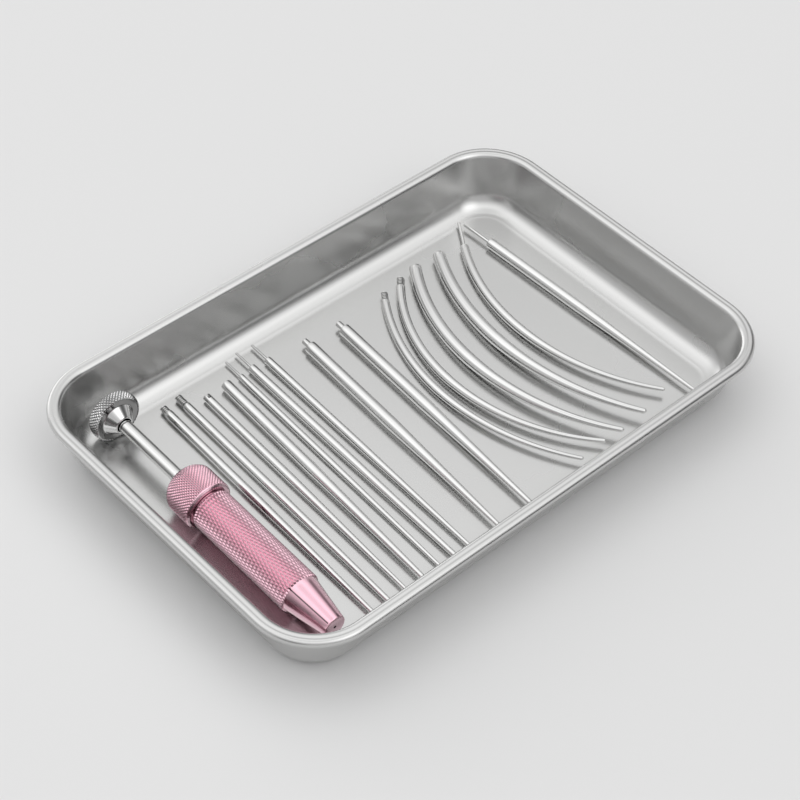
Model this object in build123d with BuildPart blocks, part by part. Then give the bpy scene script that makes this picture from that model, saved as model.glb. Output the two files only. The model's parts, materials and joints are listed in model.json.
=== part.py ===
"""Instrument tray with its set of taper tools and a spring handle, in millimetres.

The long side of the tray runs along X, the tools lie along Y with their tips towards -Y, and Z is up.
The origin is at the middle of the tray's underside.
"""
from build123d import *
import math
import os
from collections import namedtuple

os.makedirs("parts", exist_ok=True)

# ---------------------------------------------------------------- driving sizes
# Tray sheet, walls and rolled rim
sheet = 0.8
tray_height = 24.0
wall_draft = 9.0
floor_bend = 7.7
floor_corner = 9.8
lip_radius = 1.95
valley_radius = 1.9
valley_slope = 12.0
bead_radius = 1.65
bead_turn = 240.0

# How the tools lie in the tray
rest_gap = 0.05
left_room = 2.9
right_room = 13.6
front_room = 0.8
back_room = 7.7
handle_over_bend = 0.4

# Taper tools
edge_break = 0.25
straight_share = 0.45
thread_pitch = 0.8
thread_depth = 0.3
thread_relief = 0.25
wire_seat = 4.0
slot_width = 0.9
slot_depth = 2.2
cup_wall = 0.75
cup_depth = 4.0

# Handle grip: barrel with a coned nose, and the collar screwed into its back
grip_length = 64.7
grip_dia = 14.3
nose_length = 17.0
nose_dia = 8.4
nose_edge = 0.35
slit_width = 0.5
slit_depth = 1.2
slit_run_in = 1.2
slit_end_land = 0.5
slit_turn = 37.0
collar_length = 15.1
collar_dia = 18.0
collar_dome = 5.2
collar_lip = 0.9
socket_dia = 11.0
socket_depth = 6.0
socket_fit = 0.05
socket_end_gap = 0.3
collar_mouth_dia = 6.0
chamber_dia = 8.4
chamber_front = 13.0

# Handle rod, wire, spring and knob
rod_dia = 5.0
rod_show = 32.7
rod_stop_gap = 1.5
rod_fit = 0.05
push_wire_dia = 1.0
wire_fit = 0.06
wire_socket = 8.0
wire_setback = 1.5
stroke = 8.0
seat_width = 2.5
seat_play = 0.1
seat_fit = 0.3
spring_wire = 0.6
spring_fit = 0.35
spring_turns = 16
knob_dia = 18.4
knob_width = 4.5
knob_crown = 0.6
hub_length = 3.7
hub_base_dia = 12.4
hub_tip_dia = 6.8
hub_recess_fit = 0.4
hub_recess_depth = 1.6
journal_dia = 3.2
journal_fit = 0.05
knob_play = 0.1
knob_back_recess = 2.2
washer_room = 0.3
washer_dia = 6.0
washer_thickness = 0.5
screw_head_dia = 5.0
screw_head_height = 1.4
screw_slot_width = 0.7
screw_dia = 1.8
screw_length = 5.0
screw_hole_fit = 0.1
handle_yaw = 0.95

# The row of tools, from left to right. pitch is the step along X from the last tail to this one, and the
# first is from the handle's knob. lean is how far the tip lies to the right of the tail, and bow how far the
# middle bulges to the left. reach is the length from tail to tip along Y. tip_in is how far the tip stays
# behind the front edge of the floor, and tip_lift how far a bent tool's tip stands off the floor.
Tool = namedtuple(
    "Tool",
    "name pitch lean bow reach tip_in tip_lift tail_dia tip_dia tail tail_size tail_length",
)
tools = [
    Tool("straight_taper_threaded_fine", 19.1, -3.8, 0, 111.8, 0, 0, 3.3, 1.6, "thread", 2.8, 3.4),
    Tool("straight_taper_threaded_coarse", 7.2, -3.8, 0, 110.7, 0, 0, 3.2, 1.9, "thread", 2.8, 5.4),
    Tool("straight_taper_notched", 8.1, -4.4, 0, 109.5, 0, 0, 3.2, 1.3, "slot", 3.2, 0),
    Tool("straight_taper_cupped", 8.8, -5.8, 0, 109.4, 0, 0, 4.3, 1.9, "cup", 4.3, 0),
    Tool("straight_taper_pin_fine", 7.2, -4.9, 0, 110.0, 0, 0, 2.4, 1.3, "wire", 0.9, 9.0),
    Tool("straight_taper_pin_medium", 5.5, -3.7, 0, 110.4, 0, 0, 3.3, 2.0, "wire", 0.9, 9.4),
    Tool("straight_taper_pin_stout", 7.0, -4.0, 0, 110.0, 0, 0, 3.0, 1.5, "wire", 1.0, 9.4),
    Tool("straight_taper_stub_short", 15.7, -6.5, 0, 104.5, 0, 0, 4.8, 1.7, "spigot", 2.6, 3.6),
    Tool("straight_taper_stub_stout", 15.4, -6.6, 0, 103.3, 0, 0, 4.8, 1.9, "spigot", 2.6, 3.8),
    Tool("curved_taper_threaded_fine", 22.3, -1.0, 16.4, 103.1, 2.4, 2.0, 3.1, 1.5, "thread", 2.7, 4.4),
    Tool("curved_taper_threaded_coarse", 9.4, 1.6, 20.5, 104.3, 3.1, 2.0, 3.5, 1.6, "thread", 3.0, 4.6),
    Tool("curved_taper_plain_slim", 10.9, -1.6, 17.6, 109.1, 2.1, 3.0, 4.9, 2.0, "plain", 4.9, 0),
    Tool("curved_taper_plain_stout", 11.7, -0.6, 15.1, 107.5, 3.2, 3.0, 5.1, 2.1, "plain", 5.1, 0),
    Tool("curved_taper_pin", 11.2, 2.4, 16.4, 101.3, 6.9, 2.0, 3.6, 1.6, "wire", 1.3, 14.0),
    Tool("straight_taper_pin_long", 9.0, 2.4, 0, 103.4, 0, 0, 4.3, 1.5, "wire", 1.4, 14.0),
]

# ---------------------------------------------------------------- worked-out sizes
knob_front = grip_length + collar_length + rod_show + hub_length
handle_length = knob_front + knob_width
row_length = sum(tool.pitch for tool in tools)
longest_reach = max(tool.reach + tool.tip_in for tool in tools)

floor_top = sheet
floor_width = max(longest_reach + front_room + back_room, handle_length - 2 * handle_over_bend)
floor_length = left_room + knob_dia / 2 + row_length + right_room
left_edge = -floor_length / 2
front_edge = -floor_width / 2

# Rim section: how far each bend carries the sheet outward from the edge of the flat floor
wall_angle = 90 - wall_draft
rise_sin = math.sin(math.radians(wall_angle))
rise_cos = math.cos(math.radians(wall_angle))
dip_cos = math.cos(math.radians(valley_slope))
flange_z = tray_height - bead_radius * (1 - dip_cos)
wall_bottom = floor_top + floor_bend * (1 - rise_cos)
wall_top = flange_z - lip_radius * (dip_cos - rise_cos)
wall_run = (wall_top - wall_bottom) / rise_sin

# ---------------------------------------------------------------- tray shell


def rim_skin(start, offset):
    """One face of the sheet's section, from the floor's edge over the rim to the end of the rolled bead.

    offset is 0 on the side that faces the well and the sheet's thickness on the other side.
    """
    bend = JernArc(start=start, tangent=(1, 0), radius=floor_bend + offset, arc_size=wall_angle)
    wall = Line(bend @ 1, bend @ 1 + (bend % 1) * wall_run)
    lip = JernArc(wall @ 1, wall % 1, lip_radius - offset, -(wall_angle + valley_slope))
    valley = JernArc(lip @ 1, lip % 1, valley_radius + offset, 2 * valley_slope)
    bead = JernArc(valley @ 1, valley % 1, bead_radius - offset, -(valley_slope + bead_turn))
    return bead @ 1


def rim_section():
    """Closed outline of the bent sheet, from a corner's centre line outward."""
    well_end = rim_skin((floor_corner, floor_top), 0)
    under_end = rim_skin((floor_corner, 0), sheet)
    Line((floor_corner, 0), (floor_corner, floor_top))
    Line(well_end, under_end)


corner_x = floor_length / 2 - floor_corner
corner_y = floor_width / 2 - floor_corner
corners = [
    (corner_x, corner_y, 0, 2 * corner_x),
    (-corner_x, corner_y, 90, 2 * corner_y),
    (-corner_x, -corner_y, 180, 2 * corner_x),
    (corner_x, -corner_y, 270, 2 * corner_y),
]


def section_plane(x, y, heading):
    """Upright plane through a corner's centre: local X outward along the heading, local Y up."""
    outward = Vector(1, 0, 0).rotate(Axis.Z, heading)
    return Plane(origin=(x, y, 0), x_dir=outward, z_dir=outward.cross(Vector(0, 0, 1)))


with BuildPart() as tray_shell:
    with BuildSketch():
        RectangleRounded(floor_length, floor_width, floor_corner)
    extrude(amount=sheet)
    for x, y, heading, run in corners:
        with BuildSketch(section_plane(x, y, heading)):
            with BuildLine():
                rim_section()
            make_face()
        revolve(axis=Axis((x, y, 0), (0, 0, 1)), revolution_arc=90)
        with BuildSketch(section_plane(x, y, heading + 90)):
            with BuildLine():
                rim_section()
            make_face()
        extrude(amount=-run)
tray_shell.part.label = "tray_shell"
export_step(tray_shell.part, "parts/tray_shell.step")

# ---------------------------------------------------------------- taper tools


def profile_plane(origin, along):
    """Plane for turning about an axis: local Y runs along the axis, local X is level and across it."""
    across = along.cross(Vector(0, 0, 1)).normalized()
    return Plane(origin=origin, x_dir=across, z_dir=across.cross(along))


def tail_points(tool):
    """Radius and height of a tail turned in one piece with its shaft, from its top down to the shaft."""
    outer = tool.tail_size / 2
    top = tool.tail_length
    if tool.tail == "spigot":
        return [(0, top), (outer - edge_break, top), (outer, top - edge_break), (outer, 0)]
    root = outer - thread_depth
    points = [(0, top), (root, top)]
    height = top - thread_relief
    while height - thread_pitch > thread_relief:
        points += [(outer, height - thread_pitch / 3), (outer, height - thread_pitch / 2)]
        points += [(root, height - thread_pitch * 5 / 6), (root, height - thread_pitch)]
        height -= thread_pitch
    return points + [(root, 0)]


def tail_hollow(tool):
    """Outline of what is cut into the flat end of a shaft: a slot, a cup, or the seat of a pressed wire."""
    if tool.tail == "slot":
        Rectangle(tool.tail_dia * 2, slot_width)
    elif tool.tail == "cup":
        Circle(tool.tail_dia / 2 - cup_wall)
    else:
        Circle(tool.tail_size / 2)


hollow_depth = {"slot": slot_depth, "cup": cup_depth, "wire": wire_seat}

tail_x = left_edge + left_room + knob_dia / 2
for tool in tools:
    tail_x += tool.pitch
    tip_y = front_edge + front_room + tool.tip_in
    tail_r = tool.tail_dia / 2
    tip_r = tool.tip_dia / 2
    middle_r = tail_r + (tip_r - tail_r) * (0.5 - straight_share) / (1 - straight_share)
    lie = floor_top + rest_gap
    tip_z = lie + (tip_r + tool.tip_lift if tool.bow else tail_r)
    tail = Vector(tail_x, tip_y + tool.reach, lie + tail_r)
    tip = Vector(tail_x + tool.lean, tip_y, tip_z)
    middle_x = tail_x + tool.lean / 2 - tool.bow
    middle = Vector(middle_x, tip_y + tool.reach / 2, lie + middle_r + tool.tip_lift / 4)

    shaft_length = (tail - tip).length
    with BuildPart() as shaft:
        with BuildLine(mode=Mode.PRIVATE) as spine:
            if tool.bow:
                ThreePointArc(tail, middle, tip)
            else:
                Line(tail, tip)
        back = (spine.line % 0) * -1
        ahead = spine.line % 1
        if tool.bow:
            for first, last, end_r in ((0, straight_share, tail_r), (straight_share, 1, tip_r)):
                with BuildLine(mode=Mode.PRIVATE) as run:
                    ThreePointArc(spine.line @ first, spine.line @ ((first + last) / 2), spine.line @ last)
                for share, radius in ((0, tail_r), (1, end_r)):
                    with BuildSketch(Plane(origin=run.line @ share, z_dir=run.line % share)):
                        Circle(radius)
                sweep(path=run.line, multisection=True)
        else:
            with BuildSketch(profile_plane(tip, back)):
                with BuildLine():
                    Polyline(
                        (0, 0),
                        (tip_r, 0),
                        (tail_r, shaft_length * (1 - straight_share)),
                        (tail_r, shaft_length),
                        (0, shaft_length),
                        close=True,
                    )
                make_face()
            revolve(axis=Axis(tip, back))
        chamfer(shaft.faces().sort_by_distance(tail)[0].edges(), edge_break)
        with BuildSketch(profile_plane(tip, ahead)):
            with BuildLine():
                CenterArc((0, 0), tip_r, 0, 90)
                Polyline((0, tip_r), (0, 0), (tip_r, 0))
            make_face()
        revolve(axis=Axis(tip, ahead))
        if tool.tail in ("thread", "spigot"):
            with BuildSketch(profile_plane(tail, back)):
                with BuildLine():
                    Polyline(*tail_points(tool), (0, 0), close=True)
                make_face()
            revolve(axis=Axis(tail, back))
        if tool.tail in hollow_depth:
            with BuildSketch(Plane(origin=tail, x_dir=(0, 0, 1), z_dir=back)):
                tail_hollow(tool)
            extrude(amount=-hollow_depth[tool.tail], mode=Mode.SUBTRACT)
    shaft.part.label = tool.name
    export_step(shaft.part, f"parts/{tool.name}.step")

    if tool.tail == "wire":
        wire_r = tool.tail_size / 2
        with BuildPart() as wire:
            with BuildSketch(profile_plane(tail, back)):
                with BuildLine():
                    Polyline(
                        (0, -wire_seat),
                        (wire_r, -wire_seat),
                        (wire_r, tool.tail_length - wire_r),
                        (wire_r / 2, tool.tail_length),
                        (0, tool.tail_length),
                        close=True,
                    )
                make_face()
            revolve(axis=Axis(tail, back))
        wire_name = tool.name.replace("taper_pin", "pin_wire")
        wire.part.label = wire_name
        export_step(wire.part, f"parts/{wire_name}.step")

# ---------------------------------------------------------------- handle
# Everything in the handle is turned about one level axis. Distances along it run from the nose face, at 0,
# back to the knob.
handle_along = Vector(0, 1, 0).rotate(Axis.Z, -handle_yaw)
handle_z = floor_top + rest_gap + max(collar_dia, knob_dia) / 2
nose_x = left_edge + left_room + knob_dia / 2 - handle_length * math.sin(math.radians(handle_yaw))
nose_y = front_edge - handle_over_bend
handle_nose = Vector(nose_x, nose_y, handle_z)
handle_axis = Axis(handle_nose, handle_along)
handle_plane = profile_plane(handle_nose, handle_along)

grip_r = grip_dia / 2
nose_r = nose_dia / 2
collar_r = collar_dia / 2
rod_r = rod_dia / 2
push_wire_r = push_wire_dia / 2
wire_bore_r = push_wire_r + wire_fit
socket_r = socket_dia / 2
chamber_r = chamber_dia / 2
chamber_back = grip_length - socket_depth
collar_back = grip_length + collar_length
spigot_front = chamber_back + socket_end_gap
seat_back = spigot_front - seat_play
rod_front = chamber_front + stroke + rod_stop_gap


def cone_radius(distance):
    """Outer radius of the nose's cone at a distance behind the nose face."""
    return nose_r + (grip_r - nose_r) * distance / nose_length


with BuildPart() as handle_barrel:
    with BuildSketch(handle_plane):
        with BuildLine():
            Polyline(
                (wire_bore_r, 0),
                (nose_r - nose_edge, 0),
                (nose_r, nose_edge),
                (grip_r, nose_length),
                (grip_r, grip_length - edge_break),
                (grip_r - edge_break, grip_length),
                (socket_r, grip_length),
                (socket_r, chamber_back),
                (chamber_r, chamber_back),
                (chamber_r, chamber_front),
                (wire_bore_r, chamber_front),
                close=True,
            )
        make_face()
    revolve(axis=handle_axis)
    slit_out = Vector(0, 0, 1).rotate(Axis((0, 0, 0), handle_along), -slit_turn)
    with BuildSketch(Plane(origin=handle_nose, x_dir=slit_out, z_dir=slit_out.cross(handle_along))):
        with BuildLine():
            Polyline(
                (cone_radius(slit_end_land) + slit_depth, slit_end_land),
                (cone_radius(slit_end_land) - slit_depth, slit_end_land),
                (grip_r - slit_depth, nose_length),
                (grip_r - slit_depth, nose_length + slit_run_in),
                (grip_r + slit_depth, nose_length + slit_run_in),
                close=True,
            )
        make_face()
    extrude(amount=slit_width / 2, both=True, mode=Mode.SUBTRACT)
handle_barrel.part.label = "handle_barrel"
export_step(handle_barrel.part, "parts/handle_barrel.step")

with BuildPart() as handle_collar:
    with BuildSketch(handle_plane):
        with BuildLine():
            Polyline(
                (collar_mouth_dia / 2, collar_back),
                (rod_r + rod_fit, collar_back),
                (rod_r + rod_fit, spigot_front),
                (socket_r - socket_fit, spigot_front),
                (socket_r - socket_fit, grip_length),
                (collar_r - collar_lip, grip_length),
                (collar_r, grip_length + collar_lip),
                (collar_r, collar_back - collar_dome),
            )
            TangentArc(
                (collar_r, collar_back - collar_dome),
                (collar_mouth_dia / 2, collar_back),
                tangent=(0, 1),
            )
        make_face()
    revolve(axis=handle_axis)
handle_collar.part.label = "handle_collar"
export_step(handle_collar.part, "parts/handle_collar.step")

# Knob: a crowned wheel with a coned hub, free to turn on the rod's journal
knob_r = knob_dia / 2
knob_back = knob_front + knob_width
hub_front = knob_front - hub_length
hub_floor = hub_front + hub_recess_depth
recess_floor = knob_back - knob_back_recess
rod_shoulder = hub_floor - knob_play
journal_back = recess_floor + knob_play
journal_r = journal_dia / 2
washer_r = washer_dia / 2
screw_r = screw_dia / 2

with BuildPart() as push_knob:
    with BuildSketch(handle_plane):
        with BuildLine():
            ThreePointArc(
                (knob_r - knob_crown, knob_front),
                (knob_r, knob_front + knob_width / 2),
                (knob_r - knob_crown, knob_back),
            )
            Polyline(
                (knob_r - knob_crown, knob_back),
                (washer_r + washer_room, knob_back),
                (washer_r + washer_room, recess_floor),
                (journal_r + journal_fit, recess_floor),
                (journal_r + journal_fit, hub_floor),
                (rod_r + hub_recess_fit, hub_floor),
                (rod_r + hub_recess_fit, hub_front),
                (hub_tip_dia / 2, hub_front),
                (hub_base_dia / 2, knob_front),
                (knob_r - knob_crown, knob_front),
            )
        make_face()
    revolve(axis=handle_axis)
push_knob.part.label = "push_knob"
export_step(push_knob.part, "parts/push_knob.step")

with BuildPart() as push_rod:
    with BuildSketch(handle_plane):
        with BuildLine():
            Polyline(
                (push_wire_r, rod_front),
                (rod_r - edge_break, rod_front),
                (rod_r, rod_front + edge_break),
                (rod_r, rod_shoulder),
                (journal_r, rod_shoulder),
                (journal_r, journal_back),
                (screw_r, journal_back),
                (screw_r, journal_back - screw_length),
                (0, journal_back - screw_length),
                (0, rod_front + wire_socket),
                (push_wire_r, rod_front + wire_socket),
                close=True,
            )
        make_face()
    revolve(axis=handle_axis)
push_rod.part.label = "push_rod"
export_step(push_rod.part, "parts/push_rod.step")

with BuildPart() as push_wire:
    with BuildSketch(handle_plane):
        with BuildLine():
            Polyline(
                (0, wire_setback),
                (push_wire_r / 2, wire_setback),
                (push_wire_r, wire_setback + push_wire_r),
                (push_wire_r, rod_front + wire_socket),
                (0, rod_front + wire_socket),
                close=True,
            )
        make_face()
    revolve(axis=handle_axis)
push_wire.part.label = "push_wire"
export_step(push_wire.part, "parts/push_wire.step")

with BuildPart() as spring_seat:
    with BuildSketch(handle_plane):
        with BuildLine():
            Polyline(
                (rod_r, seat_back - seat_width),
                (chamber_r - seat_fit, seat_back - seat_width),
                (chamber_r - seat_fit, seat_back),
                (rod_r, seat_back),
                close=True,
            )
        make_face()
    revolve(axis=handle_axis)
spring_seat.part.label = "spring_seat"
export_step(spring_seat.part, "parts/spring_seat.step")

# Return spring, round the rod between the chamber's front wall and the seat
spring_r = rod_r + spring_fit + spring_wire / 2
spring_start = chamber_front + spring_wire
spring_length = seat_back - seat_width - spring_start - spring_wire
spring_foot = handle_nose + handle_along * spring_start
spring_pitch = spring_length / spring_turns
with BuildPart() as return_spring:
    with BuildLine():
        coil = Helix(spring_pitch, spring_length, spring_r, center=spring_foot, direction=handle_along)
    with BuildSketch(Plane(origin=coil @ 0, z_dir=coil % 0)):
        Circle(spring_wire / 2)
    sweep(path=coil, is_frenet=True)
return_spring.part.label = "return_spring"
export_step(return_spring.part, "parts/return_spring.step")

with BuildPart() as knob_washer:
    with BuildSketch(handle_plane):
        with BuildLine():
            Polyline(
                (screw_r + screw_hole_fit, journal_back),
                (washer_r, journal_back),
                (washer_r, journal_back + washer_thickness),
                (screw_r + screw_hole_fit, journal_back + washer_thickness),
                close=True,
            )
        make_face()
    revolve(axis=handle_axis)
knob_washer.part.label = "knob_washer"
export_step(knob_washer.part, "parts/knob_washer.step")

head_front = journal_back + washer_thickness
head_back = head_front + screw_head_height
with BuildPart() as knob_screw:
    with BuildSketch(handle_plane):
        with BuildLine():
            Polyline(
                (0, journal_back - screw_length),
                (screw_r, journal_back - screw_length),
                (screw_r, head_front),
                (screw_head_dia / 2, head_front),
                (screw_head_dia / 2, head_back - edge_break),
                (screw_head_dia / 2 - edge_break, head_back),
                (0, head_back),
                close=True,
            )
        make_face()
    revolve(axis=handle_axis)
    with BuildSketch(Plane(origin=handle_nose + handle_along * head_back, z_dir=handle_along)):
        Rectangle(screw_head_dia * 2, screw_slot_width)
    extrude(amount=-screw_head_height / 2, mode=Mode.SUBTRACT)
knob_screw.part.label = "knob_screw"
export_step(knob_screw.part, "parts/knob_screw.step")
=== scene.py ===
"""Instrument tray with taper tools and a spring handle: shapes, finishes and stage, laid out as an add-on.

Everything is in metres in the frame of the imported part. Sizes are given in millimetres and turned to metres
by mm() or length().
"""
import json
import math
from collections import namedtuple

import bmesh
import bpy
from bpy.props import FloatProperty, FloatVectorProperty, IntProperty, PointerProperty
from mathutils import Matrix, Vector


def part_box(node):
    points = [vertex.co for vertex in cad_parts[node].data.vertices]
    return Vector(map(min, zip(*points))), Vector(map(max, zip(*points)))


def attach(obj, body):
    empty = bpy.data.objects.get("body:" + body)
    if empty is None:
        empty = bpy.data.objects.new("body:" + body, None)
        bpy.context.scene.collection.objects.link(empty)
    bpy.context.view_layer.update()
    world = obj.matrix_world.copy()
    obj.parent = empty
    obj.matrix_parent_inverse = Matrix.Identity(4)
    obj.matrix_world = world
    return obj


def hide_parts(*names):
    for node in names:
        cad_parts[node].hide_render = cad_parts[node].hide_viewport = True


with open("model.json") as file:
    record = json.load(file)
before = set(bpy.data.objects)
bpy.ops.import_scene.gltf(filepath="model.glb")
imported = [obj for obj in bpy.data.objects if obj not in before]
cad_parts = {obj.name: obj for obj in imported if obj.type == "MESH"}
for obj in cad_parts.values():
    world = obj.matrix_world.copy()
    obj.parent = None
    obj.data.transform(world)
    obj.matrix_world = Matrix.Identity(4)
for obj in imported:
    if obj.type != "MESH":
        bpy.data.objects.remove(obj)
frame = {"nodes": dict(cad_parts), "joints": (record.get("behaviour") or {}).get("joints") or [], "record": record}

bl_info = {
    "name": "Instrument Tray",
    "version": (1, 0, 0),
    "blender": (4, 5, 0),
    "location": "View3D > Sidebar > Tray",
    "description": "Builds a pressed instrument tray with taper tools and a knurled spring handle",
    "category": "Add Mesh",
}

UP = Vector((0, 0, 1))
JOINTS = {joint["name"]: joint for joint in frame["joints"]}
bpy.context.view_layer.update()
REST_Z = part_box("straight_taper_notched")[0].z
HANDLE_ALONG = Vector(JOINTS["knob_swivel"]["axis"]).normalized()
KNOB_CENTRE = Vector(JOINTS["knob_swivel"]["pos_m"])

# From the middle of the table to its edge.
TABLE_REACH = 4.0

# Part of the floor step's slope that it turns back again.
STEP_BACK = 0.6

# Faces along and round each cell of a knurl.
CELL_STEPS = 8

# Painted shade: how much the colour is darkened in places that little light reaches, from 0 to 1. A knurl's value
# is for the middle of its grooves.
CUT_PAINTED_SHADE = 1.0
BORE_PAINTED_SHADE = 0.8
SLOT_PAINTED_SHADE = 0.8
HUB_FOOT_PAINTED_SHADE = 0.55
LIP_PAINTED_SHADE = 0.6
NOSE_PAINTED_SHADE = 0.5
GRIP_PAINTED_SHADE = 0.75
KNURL_PAINTED_SHADE = 0.9


def mm(value):
    """Millimetres to metres."""
    return value / 1000


def length(name, description, millimetres):
    """A length property, stored in metres."""
    start = mm(millimetres)
    return FloatProperty(name=name, description=description, default=start, precision=5, unit="LENGTH")


def angle(name, description, degrees):
    """An angle property, stored in radians."""
    start = math.radians(degrees)
    return FloatProperty(name=name, description=description, default=start, subtype="ANGLE")


def colour(name, description, value):
    """A colour property."""
    return FloatVectorProperty(
        name=name, description=description, default=value, subtype="COLOR", min=0, max=1
    )


def share(name, description, value):
    """A property from 0 to 1."""
    return FloatProperty(
        name=name, description=description, default=value, subtype="FACTOR", min=0, max=1
    )


# ---------------------------------------------------------------- properties


class TRAY_PG_shell(bpy.types.PropertyGroup):
    """Sizes of the pressed sheet."""

    sheet: length("Sheet", "Thickness of the sheet", 0.8)
    draft: angle("Draft", "Lean of the walls", 9)
    bend: length("Floor bend", "Radius of the bend between floor and wall, in the well", 7.7)
    step_slope: angle("Step", "Steepest slope of the shallow step in the floor bend", 13)
    step_radius: length("Step radius", "How sharply the shallow step turns back", 3.5)
    corner: length("Floor corner", "Radius of the flat floor's corners", 8.3)
    flat: length("Flat ring", "Width of the floor's outer ring of faces", 5.0)
    lip: length("Lip", "Radius of the lip over the wall", 1.95)
    valley: length("Valley", "Radius of the shallow valley along the rim", 1.9)
    bead: length("Bead", "Radius of the rolled edge", 1.65)
    slope: angle("Slope", "Dip of the rim", 12)
    roll: angle("Roll", "Turn of the edge", 240)


class TRAY_PG_handle(bpy.types.PropertyGroup):
    """Sizes of the spring handle. Distances run from the nose face back to the knob."""

    grip_length: length("Grip length", "Barrel from nose face to collar", 64.7)
    grip_dia: length("Grip diameter", "Outside of the knurled barrel", 14.3)
    nose_length: length("Nose length", "Smooth cone at the front", 17.0)
    nose_dia: length("Nose diameter", "Front face of the cone", 8.4)
    nose_edge: length("Nose edge", "Chamfer round the front face", 0.35)
    guide_bore: length("Guide bore", "Bore in the nose face", 1.12)
    slit_width: length("Slit width", "Saw cut along the cone", 0.5)
    slit_depth: length("Slit depth", "Saw cut along the cone", 1.2)
    slit_turn: angle("Slit turn", "From the top", -37)
    collar_length: length("Collar length", "Knurled collar behind the barrel", 15.1)
    collar_dia: length("Collar diameter", "Outside of the collar", 18.0)
    collar_dome: length("Collar dome", "Length of the rounded back", 5.2)
    collar_lip: length("Collar lip", "Smooth chamfer at the front", 0.5)
    collar_mouth: length("Collar mouth", "Where the dome ends at the rod", 6.0)
    rod_dia: length("Rod diameter", "Steel rod between collar and knob", 5.0)
    rod_show: length("Rod length", "Rod that shows between collar and hub", 32.7)
    knob_dia: length("Knob diameter", "Crowned wheel", 18.4)
    knob_width: length("Knob width", "Crowned wheel", 4.5)
    knob_crown: length("Knob crown", "Rise of the wheel's rim", 0.6)
    hub_length: length("Hub length", "Cone in front of the wheel", 3.7)
    hub_base: length("Hub base", "Cone at the wheel", 12.4)
    hub_tip: length("Hub tip", "Cone at the rod", 6.8)
    grip_cells: IntProperty(name="Grip cells", description="Knurl cells round the barrel", default=42)
    grip_cell: length("Grip cell", "Length of a knurl cell", 3.4)
    collar_cells: IntProperty(name="Collar cells", description="Knurl cells round the collar", default=46)
    collar_cell: length("Collar cell", "Length of a knurl cell", 1.3)
    knob_cells: IntProperty(name="Knob cells", description="Knurl cells round the wheel", default=46)
    knob_cell: length("Knob cell", "Length of a knurl cell", 1.3)
    grip_knurl: length("Grip knurl", "Depth of the barrel's grooves", 0.6)
    knurl_depth: length("Knurl depth", "Depth of the other knurls' grooves", 0.45)


class TRAY_PG_tools(bpy.types.PropertyGroup):
    """Sizes shared by all the taper tools."""

    edge: length("Edge break", "Chamfer of a tail", 0.25)
    straight: share("Straight share", "Part of a shaft, from its tail, that doesn't taper", 0.45)
    thread_pitch: length("Thread pitch", "Rise of one turn", 0.8)
    thread_depth: length("Thread depth", "Height of the ridge", 0.42)
    wire_seat: length("Wire seat", "How deep a wire sits in a tail", 4.0)
    slot_width: length("Slot width", "Slot across a tail", 0.9)
    slot_depth: length("Slot depth", "Slot across a tail", 2.2)
    cup_wall: length("Cup wall", "Wall of the hollow tail", 0.75)
    cup_depth: length("Cup depth", "Depth of the hollow tail", 4.0)


class TRAY_PG_look(bpy.types.PropertyGroup):
    """Colours and finishes."""

    tray: colour("Tray steel", "Satin sheet", (0.61, 0.61, 0.605))
    tray_roughness: share("Tray roughness", "Satin sheet", 0.27)
    tool: colour("Tool steel", "Polished tools", (0.71, 0.71, 0.705))
    tool_roughness: share("Tool roughness", "Polished tools", 0.09)
    knob: colour("Knob steel", "Knurled wheel", (0.71, 0.71, 0.71))
    pink: colour("Pink", "Anodised aluminium", (0.86, 0.50, 0.60))
    pink_roughness: share("Pink roughness", "Anodised aluminium", 0.17)
    table: colour("Table", "Plain pale floor", (0.74, 0.74, 0.74))


class TRAY_PG_view(bpy.types.PropertyGroup):
    """Camera."""

    azimuth: angle("Azimuth", "From -Y", -45.11)
    elevation: angle("Elevation", "Above level", 46.38)
    roll: angle("Roll", "About the view", 3.85)
    distance: length("Distance", "From the aim point", 762.4)
    aim_x: length("Aim X", "Point on the table", 2.9)
    aim_y: length("Aim Y", "Point on the table", 6.7)
    lens: FloatProperty(name="Lens", description="Focal length in millimetres", default=95.84)


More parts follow.
